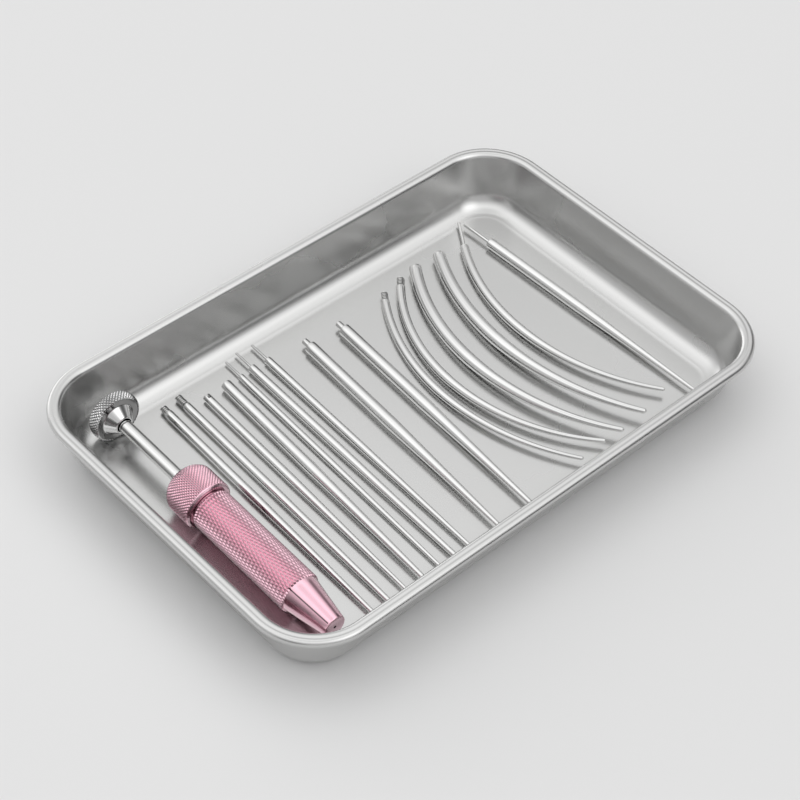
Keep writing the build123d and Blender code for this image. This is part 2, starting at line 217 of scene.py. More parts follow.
# The row of tools, from left to right, in millimetres. pitch is the step along X from the last tail, for the
# first tool from the knob. lean is how far the tip lies to the right of the tail, bow how far the middle
# bulges to the left, reach the length along Y, and tip_lift how far a bent tool's tip stands off the floor.
# tail is the kind of tail, tail_size its diameter, and tail_length how far it stands out.
Tool = namedtuple("Tool", "node pitch lean bow reach tip_lift tail_dia tip_dia tail tail_size tail_length")
TOOLS = [
    Tool("straight_taper_threaded_fine", 19.1, -3.8, 0, 111.8, 0, 3.3, 1.6, "thread", 2.8, 3.4),
    Tool("straight_taper_threaded_coarse", 7.2, -3.8, 0, 110.7, 0, 3.2, 1.9, "thread", 2.8, 5.4),
    Tool("straight_taper_notched", 8.1, -4.4, 0, 109.5, 0, 3.2, 1.3, "slot", 3.2, 0),
    Tool("straight_taper_cupped", 8.8, -5.8, 0, 109.4, 0, 4.3, 1.9, "cup", 4.3, 0),
    Tool("straight_taper_pin_fine", 7.2, -4.9, 0, 110.0, 0, 2.4, 1.3, "wire", 0.9, 9.0),
    Tool("straight_taper_pin_medium", 5.5, -3.7, 0, 110.4, 0, 3.3, 2.0, "wire", 0.9, 9.4),
    Tool("straight_taper_pin_stout", 7.0, -4.0, 0, 110.0, 0, 3.0, 1.5, "wire", 1.0, 9.4),
    Tool("straight_taper_stub_short", 15.7, -6.5, 0, 104.5, 0, 4.8, 1.7, "spigot", 2.6, 3.6),
    Tool("straight_taper_stub_stout", 15.4, -6.6, 0, 103.3, 0, 4.8, 1.9, "spigot", 2.6, 3.8),
    Tool("curved_taper_threaded_fine", 22.3, -1.0, 16.4, 103.1, 2.0, 3.1, 1.5, "thread", 2.7, 4.4),
    Tool("curved_taper_threaded_coarse", 9.4, 1.6, 20.5, 104.3, 2.0, 3.5, 1.6, "thread", 3.0, 4.6),
    Tool("curved_taper_plain_slim", 10.9, -1.6, 17.6, 109.1, 3.0, 4.9, 2.0, "plain", 4.9, 0),
    Tool("curved_taper_plain_stout", 11.7, -0.6, 15.1, 107.5, 3.0, 5.1, 2.1, "plain", 5.1, 0),
    Tool("curved_taper_pin", 11.2, 2.4, 16.4, 101.3, 2.0, 3.6, 1.6, "wire", 1.3, 14.0),
    Tool("straight_taper_pin_long", 9.0, 2.4, 0, 103.4, 0, 4.3, 1.5, "wire", 1.4, 14.0),
]

# ---------------------------------------------------------------- node groups and materials


def add(tree, kind, place=(0, 0), **values):
    """Adds a node to a tree and sets its properties and input defaults."""
    node = tree.nodes.new(kind)
    node.location = place
    for key, value in values.items():
        if hasattr(node, key):
            setattr(node, key, value)
        else:
            node.inputs[key.replace("_", " ")].default_value = value
    return node


def group(name, inputs, outputs):
    """Starts a shader node group with named outputs and inputs: a value's default, or None for a colour."""
    tree = bpy.data.node_groups.new(name, "ShaderNodeTree")
    for label, default in inputs.items():
        kind = "NodeSocketColor" if default is None else "NodeSocketFloat"
        socket = tree.interface.new_socket(name=label, in_out="INPUT", socket_type=kind)
        if default is not None:
            socket.default_value = default
    for label, kind in outputs.items():
        tree.interface.new_socket(name=label, in_out="OUTPUT", socket_type=kind)
    start = add(tree, "NodeGroupInput", (-900, 0))
    end = add(tree, "NodeGroupOutput", (600, 0))
    return tree, start, end


def math_node(tree, operation, first, second, place):
    """A Math node fed by sockets or constants."""
    node = add(tree, "ShaderNodeMath", place, operation=operation)
    for socket, value in zip(node.inputs, (first, second)):
        if isinstance(value, (int, float)):
            socket.default_value = value
        else:
            tree.links.new(value, socket)
    return node.outputs[0]


def scale_colour(tree, start, level, end):
    """Passes a group's colour on, times a level."""
    scaled = add(tree, "ShaderNodeVectorMath", (300, 100), operation="SCALE")
    tree.links.new(start.outputs["Color"], scaled.inputs[0])
    tree.links.new(level, scaled.inputs["Scale"])
    tree.links.new(scaled.outputs[0], end.inputs["Color"])


def grain_group():
    """Fine grain of worked metal: a height from 0 to 1 and a roughness that varies by patches."""
    inputs = {"Scale": 2500.0, "Roughness": 0.3, "Variation": 0.05, "Patch Scale": 30.0}
    outputs = {"Height": "NodeSocketFloat", "Roughness": "NodeSocketFloat"}
    tree, start, end = group("Metal grain", inputs, outputs)
    place = add(tree, "ShaderNodeTexCoord", (-900, 300))
    fine = add(tree, "ShaderNodeTexNoise", (-600, 300), Detail=3.0, Roughness=0.6)
    patch = add(tree, "ShaderNodeTexNoise", (-600, -100), Detail=4.0, Roughness=0.55)
    tree.links.new(place.outputs["Object"], fine.inputs["Vector"])
    tree.links.new(place.outputs["Object"], patch.inputs["Vector"])
    tree.links.new(start.outputs["Scale"], fine.inputs["Scale"])
    tree.links.new(start.outputs["Patch Scale"], patch.inputs["Scale"])
    tree.links.new(fine.outputs["Fac"], end.inputs["Height"])
    centred = math_node(tree, "SUBTRACT", patch.outputs["Fac"], 0.5, (-350, -100))
    swing = math_node(tree, "MULTIPLY", centred, start.outputs["Variation"], (-150, -100))
    total = math_node(tree, "ADD", swing, start.outputs["Roughness"], (50, -100))
    tree.links.new(total, end.inputs["Roughness"])
    return tree


def tint_group():
    """Slight change of a base colour's brightness by soft patches."""
    inputs = {"Color": None, "Amount": 0.06, "Scale": 20.0}
    tree, start, end = group("Tint patches", inputs, {"Color": "NodeSocketColor"})
    place = add(tree, "ShaderNodeTexCoord", (-900, 300))
    noise = add(tree, "ShaderNodeTexNoise", (-650, 300), Detail=5.0, Roughness=0.6)
    tree.links.new(place.outputs["Object"], noise.inputs["Vector"])
    tree.links.new(start.outputs["Scale"], noise.inputs["Scale"])
    centred = math_node(tree, "SUBTRACT", noise.outputs["Fac"], 0.5, (-400, 300))
    swing = math_node(tree, "MULTIPLY", centred, start.outputs["Amount"], (-200, 300))
    level = math_node(tree, "ADD", swing, 1.0, (0, 300))
    scale_colour(tree, start, level, end)
    return tree


def painted_shade_group():
    """Paints shade: darkens a colour by the mesh's own layer of painted shade, which is high in cuts, grooves and
    other places that little light reaches.
    """
    tree, start, end = group("Painted groove shade", {"Color": None, "Amount": 0.8}, {"Color": "NodeSocketColor"})
    depth = add(tree, "ShaderNodeAttribute", (-900, 300), attribute_name="groove_shade")
    loss = math_node(tree, "MULTIPLY", depth.outputs["Fac"], start.outputs["Amount"], (-400, 300))
    level = math_node(tree, "SUBTRACT", 1.0, loss, (0, 300))
    scale_colour(tree, start, level, end)
    return tree


def shared_group(name, make):
    """A node group by name, made the first time that it is asked for."""
    return bpy.data.node_groups.get(name) or make()


def metal(name, base, roughness, grain_scale, grain_height, patch_scale, variation, tint=0.06, groove_shade=0.8):
    """A metal finish with fine grain, roughness and tint that vary by patches, and painted shade that darkens its
    grooves and hollows.
    """
    material = bpy.data.materials.get(name)
    if material:
        return material
    material = bpy.data.materials.new(name)
    material.use_nodes = True
    tree = material.node_tree
    shader = tree.nodes["Principled BSDF"]
    shader.inputs["Metallic"].default_value = 1.0
    grain = add(tree, "ShaderNodeGroup", (-600, 0), node_tree=shared_group("Metal grain", grain_group))
    grain.inputs["Scale"].default_value = grain_scale
    grain.inputs["Roughness"].default_value = roughness
    grain.inputs["Variation"].default_value = variation
    grain.inputs["Patch Scale"].default_value = patch_scale
    patches = add(tree, "ShaderNodeGroup", (-600, 300), node_tree=shared_group("Tint patches", tint_group))
    patches.inputs["Color"].default_value = (*base, 1)
    patches.inputs["Amount"].default_value = tint
    patches.inputs["Scale"].default_value = patch_scale
    bump = add(tree, "ShaderNodeBump", (-250, -200), Strength=grain_height, Distance=0.0001)
    tree.links.new(grain.outputs["Height"], bump.inputs["Height"])
    tree.links.new(bump.outputs["Normal"], shader.inputs["Normal"])
    tree.links.new(grain.outputs["Roughness"], shader.inputs["Roughness"])
    # Painted shade: the base colour is darkened where the mesh's shade layer is high.
    painted_shade_node = add(tree, "ShaderNodeGroup", (-300, 300), node_tree=shared_group("Painted groove shade", painted_shade_group))
    painted_shade_node.inputs["Amount"].default_value = groove_shade
    tree.links.new(patches.outputs["Color"], painted_shade_node.inputs["Color"])
    tree.links.new(painted_shade_node.outputs["Color"], shader.inputs["Base Color"])
    return material


def tray_steel(look):
    """Satin stainless sheet."""
    return metal(
        "Satin sheet steel", look.tray, look.tray_roughness,
        grain_scale=3000, grain_height=0.03, patch_scale=14, variation=0.05,
    )


def tool_steel(look):
    """Polished stainless of the tapers and the rod."""
    return metal(
        "Polished tool steel", look.tool, look.tool_roughness,
        grain_scale=5000, grain_height=0.01, patch_scale=60, variation=0.06,
    )


def knob_steel(look):
    """Knurled and polished stainless of the knob."""
    return metal(
        "Knurled knob steel", look.knob, look.tool_roughness,
        grain_scale=5000, grain_height=0.01, patch_scale=90, variation=0.06, groove_shade=1.2,
    )


def pink_metal(look):
    """Pink anodised aluminium under its glossy clear skin."""
    material = metal(
        "Pink anodised aluminium", look.pink, look.pink_roughness,
        grain_scale=5000, grain_height=0.02, patch_scale=120, variation=0.06, groove_shade=0.85,
    )
    shader = material.node_tree.nodes["Principled BSDF"]
    shader.inputs["Coat Weight"].default_value = 1.0
    shader.inputs["Coat IOR"].default_value = 1.8
    shader.inputs["Coat Roughness"].default_value = 0.15
    return material


def spring_steel(look):
    """Bright drawn wire."""
    return metal(
        "Drawn spring wire", look.knob, look.tool_roughness,
        grain_scale=2600, grain_height=0.05, patch_scale=90, variation=0.1,
    )


# ---------------------------------------------------------------- mesh helpers


def edges_of(geometry):
    """Only the edges of an operator's result."""
    return [part for part in geometry if isinstance(part, bmesh.types.BMEdge)]


def verts_of(geometry):
    """Only the vertices of an operator's result."""
    return [part for part in geometry if isinstance(part, bmesh.types.BMVert)]


def corners_of(parts):
    """The vertices of edges or faces, each of them once and always in the same order."""
    return list(dict.fromkeys(vert for part in parts for vert in part.verts))


def walk(start, heading, moves, step):
    """Points along a bent line. A move is a radius and a turn, or a length and 0 for a straight run."""
    points = [Vector(start)]
    for size, turn in moves:
        here = points[-1].copy()
        if not turn:
            points.append(here + Vector((math.cos(heading), math.sin(heading))) * size)
            continue
        side = math.copysign(1, turn)
        centre = here + Vector((-math.sin(heading), math.cos(heading))) * size * side
        count = max(1, math.ceil(abs(turn) / step))
        for number in range(1, count + 1):
            part = Matrix.Rotation(turn * number / count, 2)
            points.append(centre + part @ (here - centre))
        heading += turn
    return points


def rounded(corners, steps=3):
    """Points of a profile given as (radius, distance) or (radius, distance, rounding)."""
    points = []
    for number, corner in enumerate(corners):
        here = Vector(corner[:2])
        if len(corner) < 3:
            points.append(here)
            continue
        before = (Vector(corners[number - 1][:2]) - here).normalized() * corner[2]
        after = (Vector(corners[number + 1][:2]) - here).normalized() * corner[2]
        for part in range(steps + 1):
            t = part / steps
            points.append(here + before * (1 - t) ** 2 + after * t**2)
    return points


def divided(points, spacing):
    """The same profile with its long runs divided into steps no longer than the spacing."""
    result = [points[0]]
    for first, last in zip(points, points[1:]):
        count = max(1, math.ceil((last - first).length / spacing - 1e-6))
        result += [first.lerp(last, number / count) for number in range(1, count + 1)]
    return result


def lengths_along(points):
    """How far along a profile each of its points lies."""
    lengths = [0.0]
    for first, last in zip(points, points[1:]):
        lengths.append(lengths[-1] + (last - first).length)
    return lengths


def float_layer(bm, name):
    """A mesh's own layer of one value for each vertex, added if it isn't there yet."""
    return bm.verts.layers.float.get(name) or bm.verts.layers.float.new(name)


def paint_shade(bm, verts, level):
    """Paints shade on vertices that lie in a groove, or another place that little light reaches: the level darkens
    their colour.
    """
    shade_layer = float_layer(bm, "groove_shade")
    for vert in verts:
        vert[shade_layer] = level


def turned(points, steps, target=None):
    """Turns a profile of (radius, distance) points about Z. Vertices keep their place along the profile."""
    bm = target or bmesh.new()
    layer = float_layer(bm, "along")
    # A layer of painted shade, 0 until a cut or knurl sets it.
    float_layer(bm, "groove_shade")
    line = []
    for point, along in zip(points, lengths_along(points)):
        vert = bm.verts.new((point.x, 0, point.y))
        vert[layer] = along
        line.append(vert)
    edges = [bm.edges.new(pair) for pair in zip(line, line[1:])]
    bmesh.ops.spin(
        bm,
        geom=line + edges,
        cent=(0, 0, 0),
        axis=UP,
        angle=2 * math.pi,
        steps=steps,
        use_merge=True,
    )
    return bm


def closed(bm):
    """Merges doubled vertices and turns the faces outwards."""
    bmesh.ops.remove_doubles(bm, verts=bm.verts, dist=1e-7)
    bmesh.ops.dissolve_degenerate(bm, edges=bm.edges, dist=1e-8)
    bmesh.ops.recalc_face_normals(bm, faces=bm.faces)
    return bm


def tent(value):
    """1 on whole numbers, falling to 0 half way between them."""
    return 1 - 2 * abs(value - round(value))


def knurl(bm, first, last, cells, cell, depth, shade_level, fade):
    """Presses two families of crossing helical grooves between two places along a turned profile and paints shade
    in them.
    """
    layer = float_layer(bm, "along")
    bm.normal_update()
    moves = []
    for vert in bm.verts:
        along = vert[layer]
        if not first < along < last:
            continue
        turn = math.atan2(vert.co.y, vert.co.x) / (2 * math.pi) * cells
        climb = (along - first) / cell
        # The power narrows the grooves.
        groove_shade = max(tent(turn + climb), tent(turn - climb)) ** 1.5
        groove_shade *= min(1.0, (along - first) / fade, (last - along) / fade)
        moves.append((vert, vert.normal * depth * groove_shade, groove_shade))
    # Painted shade, darkest at the middle of each groove.
    shade_layer = float_layer(bm, "groove_shade")
    for vert, move, groove_shade in moves:
        vert.co -= move
        vert[shade_layer] = shade_level * groove_shade**3


def piece(name, bm, body, nodes, material, sharp=35):
    """Makes the finished object of a mesh, on its body, in place of the CAD nodes that it stands for."""
    mesh = bpy.data.meshes.new(name)
    bm.to_mesh(mesh)
    bm.free()
    mesh.materials.append(material)
    mesh.shade_smooth()
    mesh.set_sharp_from_angle(angle=math.radians(sharp))
    made = bpy.data.objects.new(name, mesh)
    bpy.context.scene.collection.objects.link(made)
    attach(made, body)
    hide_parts(*nodes)
    return made


def body_of(node):
    """Name of the CAD body that holds a node."""
    bodies = frame["record"]["behaviour"]["bodies"]
    return next(name for name, members in bodies.items() if node in members)


# ---------------------------------------------------------------- tray


def foot_moves(size, offset):
    """Bends of one face of the sheet from the floor to the wall, with a shallow step near the floor."""
    back = size.step_slope * STEP_BACK
    return [
        (size.bend + offset, size.step_slope),
        (size.step_radius - offset, -back),
        (size.bend + offset, math.pi / 2 - size.draft - size.step_slope + back),
    ]


def rim_moves(size, offset):
    """Bends and runs of one face of the sheet, from the floor's edge to the end of the rolled bead."""
    wall_turn = math.pi / 2 - size.draft
    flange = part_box("tray_shell")[1].z - size.bead * (1 - math.cos(size.slope))
    wall_bottom = walk((0, size.sheet), 0, foot_moves(size, 0), math.pi)[-1].y
    wall_top = flange - size.lip * (math.cos(size.slope) - math.cos(wall_turn))
    return foot_moves(size, offset) + [
        ((wall_top - wall_bottom) / math.sin(wall_turn), 0),
        (size.lip - offset, -(wall_turn + size.slope)),
        (size.valley + offset, 2 * size.slope),
        (size.bead - offset, -(size.slope + size.roll)),
    ]


def tray_mesh(size):
    """The pressed sheet: its section is spun round each corner and drawn along each side, then floored."""
    start = size.corner - size.flat
    step = math.radians(6)
    well = walk((start, size.sheet), 0, [(size.flat, 0)] + rim_moves(size, 0), step)
    under = walk((start, 0), 0, [(size.flat, 0)] + rim_moves(size, size.sheet), step)
    reach = max(point.x for point in well)
    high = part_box("tray_shell")[1]
    corner_x = high.x - reach
    corner_y = high.y - reach
    bm = bmesh.new()
    line = [bm.verts.new((corner_x + point.x, corner_y, point.y)) for point in well + under[::-1]]
    loop = [bm.edges.new(pair) for pair in zip(line, line[1:])]
    sides = [
        ((corner_x, corner_y, 0), (-2 * corner_x, 0, 0)),
        ((-corner_x, corner_y, 0), (0, -2 * corner_y, 0)),
        ((-corner_x, -corner_y, 0), (2 * corner_x, 0, 0)),
        ((corner_x, -corner_y, 0), (0, 2 * corner_y, 0)),
    ]
    for centre, run in sides:
        geometry = loop + corners_of(loop)
        spun = bmesh.ops.spin(bm, geom=geometry, cent=centre, axis=UP, angle=math.pi / 2, steps=20)
        drawn = bmesh.ops.extrude_edge_only(bm, edges=edges_of(spun["geom_last"]))
        bmesh.ops.translate(bm, verts=verts_of(drawn["geom"]), vec=run)
        moved = set(verts_of(drawn["geom"]))
        loop = [edge for edge in edges_of(drawn["geom"]) if set(edge.verts) <= moved]
    bmesh.ops.remove_doubles(bm, verts=bm.verts, dist=1e-6)
    bmesh.ops.holes_fill(bm, edges=[edge for edge in bm.edges if edge.is_boundary], sides=0)
    return closed(bm)


class TRAY_OT_shell(bpy.types.Operator):
    """Build the pressed tray with its rolled rim"""

    bl_idname = "tray.shell"
    bl_label = "Tray"

    def execute(self, context):
        bm = tray_mesh(context.scene.tray_shell)
        steel = tray_steel(context.scene.tray_look)
        piece("pressed_tray", bm, "tray", ["tray_shell"], steel, sharp=50)
        return {"FINISHED"}


# ---------------------------------------------------------------- taper tools


class Spine:
    """The middle line of a tool: a straight line or an arc from tail to tip, straight on past both ends."""

    def __init__(self, tail, middle, tip):
        self.tail = tail
        self.tip = tip
        self.centre = None
        chord = tip - tail
        bulge = middle - (tail + tip) / 2
        if bulge.length < 1e-6:
            self.length = chord.length
            self.heading = chord.normalized()
            return
        first = tail - middle
        last = tip - middle
        normal = first.cross(last)
        offset = (last * first.length_squared - first * last.length_squared).cross(normal)
        self.centre = middle + offset / (2 * normal.length_squared)
        self.radius = (tail - self.centre).length
        self.normal = (tail - self.centre).cross(tip - self.centre).normalized()
        self.sweep = (tail - self.centre).angle(tip - self.centre)
        self.length = self.radius * self.sweep
        self.heading = self.normal.cross(tail - self.centre).normalized()

    def at(self, distance):
        """Point and direction at a distance from the tail."""
        if self.centre is None:
            return self.tail + self.heading * distance, self.heading
        inside = min(max(distance, 0.0), self.length)
        turn = Matrix.Rotation(inside / self.radius, 3, self.normal)
        ahead = turn @ self.heading
        point = self.centre + turn @ (self.tail - self.centre)
        return point + ahead * (distance - inside), ahead


def lay(bm, spine):
    """Moves a mesh built about Z, with its tail at 0, onto the spine."""
    for vert in bm.verts:
        point, ahead = spine.at(vert.co.z)
        across = ahead.cross(UP).normalized()
        vert.co = point + across * vert.co.x + across.cross(ahead) * vert.co.y


def tool_spine(tool, size, tail_x):
    """Spine of a tool in the tray, from the table's values and its CAD node's place."""
    tail_r = mm(tool.tail_dia) / 2
    tip_r = mm(tool.tip_dia) / 2
    tip_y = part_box(tool.node)[0].y + tip_r
    lift = mm(tool.tip_lift)
    tail = Vector((tail_x, tip_y + mm(tool.reach), REST_Z + tail_r))
    tip = Vector((tail_x + mm(tool.lean), tip_y, REST_Z + (tip_r + lift if tool.bow else tail_r)))
    middle = (tail + tip) / 2
    if tool.bow:
        # A bent tool rises faster towards its tip, so its middle has a quarter of the tip's lift.
        middle_r = tail_r + (tip_r - tail_r) * (0.5 - size.straight) / (1 - size.straight)
        middle.x -= mm(tool.bow)
        middle.z = REST_Z + middle_r + lift / 4
    return Spine(tail, middle, tip)


def thread(bm, tool, size, steps):
    """Screw thread on a tail: a core with one ridge spun round it as a helix. The core and the ridge's foot get
    painted shade.
    """
    outer = mm(tool.tail_size) / 2
    root = outer - size.thread_depth
    top = -mm(tool.tail_length)
    core = rounded([(0, top), (root, top, mm(0.1)), (root, 0)])
    before = set(bm.verts)
    turned(core, steps, bm)
    paint_shade(bm, set(bm.verts) - before, CUT_PAINTED_SHADE)
    turns = (mm(tool.tail_length) - size.thread_pitch) / size.thread_pitch
    foot = size.thread_pitch * 0.42
    crest = foot * 0.4
    start = top + size.thread_pitch * 0.5
    sunk = root - size.thread_depth * 0.3
    corners = [(sunk, -foot), (outer, -crest), (outer, crest), (sunk, foot)]
    line = [bm.verts.new((radius, 0, start + height)) for radius, height in corners]
    paint_shade(bm, (line[0], line[-1]), CUT_PAINTED_SHADE)
    edges = [bm.edges.new(pair) for pair in zip(line, line[1:] + line[:1])]
    count = round(turns * steps)
    rise = size.thread_pitch / steps
    bm.faces.new(line)
    spun = bmesh.ops.spin(
        bm,
        geom=line + edges,
        cent=(0, 0, 0),
        axis=UP,
        dvec=UP * rise,
        angle=2 * math.pi * turns,
        steps=count,
    )
    bmesh.ops.edgeloop_fill(bm, edges=edges_of(spun["geom_last"]))


def shaft_profile(tool, size, reach):
    """Profile of a shaft from the middle of its tail face over the taper to the end of its rounded tip."""
    tail_r = mm(tool.tail_dia) / 2
    tip_r = mm(tool.tip_dia) / 2
    if tool.tail == "cup":
        bore = tail_r - size.cup_wall
        start = [(0, size.cup_depth), (bore, size.cup_depth), (bore, 0, mm(0.1)), (tail_r, 0, size.edge)]
    elif tool.tail == "wire":
        seat = mm(tool.tail_size) / 2
        start = [(0, size.wire_seat), (seat, size.wire_seat), (seat, 0, mm(0.05)), (tail_r, 0, size.edge)]
    elif tool.tail == "spigot":
        spigot = mm(tool.tail_size) / 2
        top = -mm(tool.tail_length)
        start = [(0, top), (spigot, top, size.edge), (spigot, 0), (tail_r, 0, size.edge)]
    elif tool.tail == "plain":
        start = [(0, 0), (tail_r, 0, size.edge * 3)]
    else:
        start = [(0, 0), (tail_r, 0, size.edge)]
    points = rounded(start + [(tail_r, reach * size.straight), (tip_r, reach)])
    body = divided(points[-3:], mm(2))
    dome = [
        Vector((tip_r * math.cos(turn), reach + tip_r * math.sin(turn)))
        for turn in (math.radians(15 * number) for number in range(1, 7))
    ]
    return points[:-3] + body + dome


def cut_slot(bm, size):
    """Cuts a slot across a tail by slicing the shaft and bridging the two walls."""
    half = size.slot_width / 2
    depth = size.slot_depth
    across = Vector((1, 0, 0))
    for place, normal in ((across * half, across), (across * -half, across), (UP * depth, UP)):
        geometry = bm.verts[:] + bm.edges[:] + bm.faces[:]
        bmesh.ops.bisect_plane(bm, geom=geometry, plane_co=place, plane_no=normal, dist=1e-7)
    inside = [
        face
        for face in bm.faces
        if abs(face.calc_center_median().x) < half - 1e-6 and face.calc_center_median().z < depth - 1e-6
    ]
    bmesh.ops.delete(bm, geom=inside, context="FACES")
    rim = [edge for edge in bm.edges if edge.is_boundary]
    walls = [[e for e in rim if all(abs(v.co.x - side * half) < 1e-6 for v in e.verts)] for side in (-1, 1)]
    for wall in walls:
        ends = [vert for edge in wall for vert in edge.verts]
        bottom = sorted({v for v in ends if ends.count(v) == 1}, key=lambda v: v.co.y)
        if len(bottom) == 2:
            bridge = bm.edges.get(bottom) or bm.edges.new(bottom)
            bmesh.ops.edgeloop_fill(bm, edges=wall + [bridge])
    left = [edge for edge in bm.edges if edge.is_boundary or edge.is_wire]
    bmesh.ops.holes_fill(bm, edges=left, sides=0)


def shaft_mesh(tool, size, spine):
    """One taper tool, laid on its spine."""
    bm = closed(turned(shaft_profile(tool, size, spine.length), steps=32))
    if tool.tail == "slot":
        cut_slot(bm, size)
        closed(bm)
        # The slot's walls get painted shade.
        walls = [
            vert for vert in bm.verts
            if 0 < vert.co.z <= size.slot_depth * 1.001 and abs(vert.co.x) <= size.slot_width * 0.51
        ]
        paint_shade(bm, walls, SLOT_PAINTED_SHADE)
    elif tool.tail == "cup":
        # The cup's inside gets painted shade.
        inside_r = mm(tool.tail_dia) / 2 - size.cup_wall * 0.9
        inside = [
            vert for vert in bm.verts
            if mm(0.2) < vert.co.z < size.cup_depth * 1.001 and vert.co.xy.length < inside_r
        ]
        paint_shade(bm, inside, CUT_PAINTED_SHADE)
    elif tool.tail == "thread":
        thread(bm, tool, size, steps=24)
        closed(bm)
    lay(bm, spine)
    bmesh.ops.recalc_face_normals(bm, faces=bm.faces)
    return bm


def wire_mesh(tool, size, spine):
    """The wire pressed into a tail."""
    wire_r = mm(tool.tail_size) / 2
    top = -mm(tool.tail_length)
    points = rounded([(0, top), (wire_r, top, wire_r * 0.6), (wire_r, size.wire_seat), (0, size.wire_seat)])
    bm = closed(turned(points, steps=20))
    lay(bm, spine)
    return bm


class TRAY_OT_tools(bpy.types.Operator):
    """Build the straight and curved taper tools"""

    bl_idname = "tray.tools"
    bl_label = "Taper tools"

    def execute(self, context):
        size = context.scene.tray_tools
        steel = tool_steel(context.scene.tray_look)
        tail_x = (KNOB_CENTRE + HANDLE_ALONG * context.scene.tray_handle.knob_width / 2).x
        for tool in TOOLS:
            tail_x += mm(tool.pitch)
            spine = tool_spine(tool, size, tail_x)
            body = body_of(tool.node)
            name = tool.node.replace("taper", "tool")
            piece(name, shaft_mesh(tool, size, spine), body, [tool.node], steel)
            if tool.tail == "wire":
                wire = tool.node.replace("taper_pin", "pin_wire")
                name = wire.replace("pin_wire", "tail_wire")
                piece(name, wire_mesh(tool, size, spine), body, [wire], steel)
        return {"FINISHED"}


# ---------------------------------------------------------------- handle


def handle_matrix(size):
    """Places a mesh built about Z, with the nose face at 0, onto the handle's axis; X points up."""
    back = size.grip_length + size.collar_length + size.rod_show + size.hub_length + size.knob_width / 2
    nose = KNOB_CENTRE - HANDLE_ALONG * back
    side = HANDLE_ALONG.cross(UP).normalized()
    top = side.cross(HANDLE_ALONG)
    turn = Matrix((top, HANDLE_ALONG.cross(top), HANDLE_ALONG)).transposed()
    return Matrix.Translation(nose) @ turn.to_4x4()


def slit(bm, size):
    """Presses the narrow saw cut into the cone: the faces between two close planes are pushed inwards and get
    painted shade.
    """
    half = size.slit_width / 2
    turn = Matrix.Rotation(size.slit_turn, 3, "Z")
    out = turn @ Vector((1, 0, 0))
    side = turn @ Vector((0, 1, 0))
    first = size.nose_edge * 1.4
    last = size.nose_length + mm(1.0)

    def around(low, high, reach):
        """Faces on the slit's side, between two heights and within a reach of the slit's plane."""
        centres = {face: face.calc_center_median() for face in bm.faces}
        return [
            face for face, centre in centres.items()
            if low < centre.z < high
            and abs(centre.dot(side)) < reach
            and centre.dot(out) > size.nose_dia * 0.2
        ]

    planes = [(side * half, side), (side * -half, side), (UP * first, UP), (UP * last, UP)]
    for place, normal in planes:
        near = around(mm(-1.0), last + mm(1.0), mm(1.5))
        edges = list(dict.fromkeys(edge for face in near for edge in face.edges))
        geometry = corners_of(near) + edges + near
        bmesh.ops.bisect_plane(bm, geom=geometry, plane_co=place, plane_no=normal, dist=1e-8)
    cut = around(first, last, half)
    sunk = bmesh.ops.extrude_face_region(bm, geom=cut)
    bmesh.ops.delete(bm, geom=cut, context="FACES")
    bmesh.ops.translate(bm, verts=verts_of(sunk["geom"]), vec=out * -size.slit_depth)
    paint_shade(bm, verts_of(sunk["geom"]), CUT_PAINTED_SHADE)


def barrel_mesh(size):
    """Grip with its knurled length, smooth cone and bored nose."""
    grip_r = size.grip_dia / 2
    bore = size.guide_bore / 2
    bore_depth = mm(6)
    inside_r = mm(5.5)
    edge = mm(0.25)
    knurl_start = size.nose_length + edge
    row = size.grip_cell / CELL_STEPS
    front = rounded([
        (bore, bore_depth),
        (bore, 0),
        (size.nose_dia / 2, 0, size.nose_edge),
        (grip_r, size.nose_length),
    ])
    front = divided(front, mm(1.5))
    rows = int((size.grip_length - mm(0.4) - knurl_start) / row)
    grip = [Vector((grip_r, knurl_start + row * number)) for number in range(rows + 1)]
    back = [
        Vector((grip_r, size.grip_length - edge)),
        Vector((grip_r - mm(0.3), size.grip_length)),
        Vector((inside_r, size.grip_length)),
    ]
    points = front + grip + back
    bm = turned(points, size.grip_cells * CELL_STEPS)
    lengths = lengths_along(points)
    start = lengths[len(front)]
    end = lengths[len(front) + rows]
    knurl(bm, start, end, size.grip_cells, size.grip_cell, size.grip_knurl, GRIP_PAINTED_SHADE, fade=mm(0.2))
    # Painted shade in the bore, and a painted dark reflection on the nose face.
    nose = [vert for vert in bm.verts if vert.co.z < mm(0.01) or vert.co.xy.length < bore * 1.01]
    paint_shade(bm, nose, NOSE_PAINTED_SHADE)
    closed(bm)
    slit(bm, size)
    bmesh.ops.recalc_face_normals(bm, faces=bm.faces)
    return bm


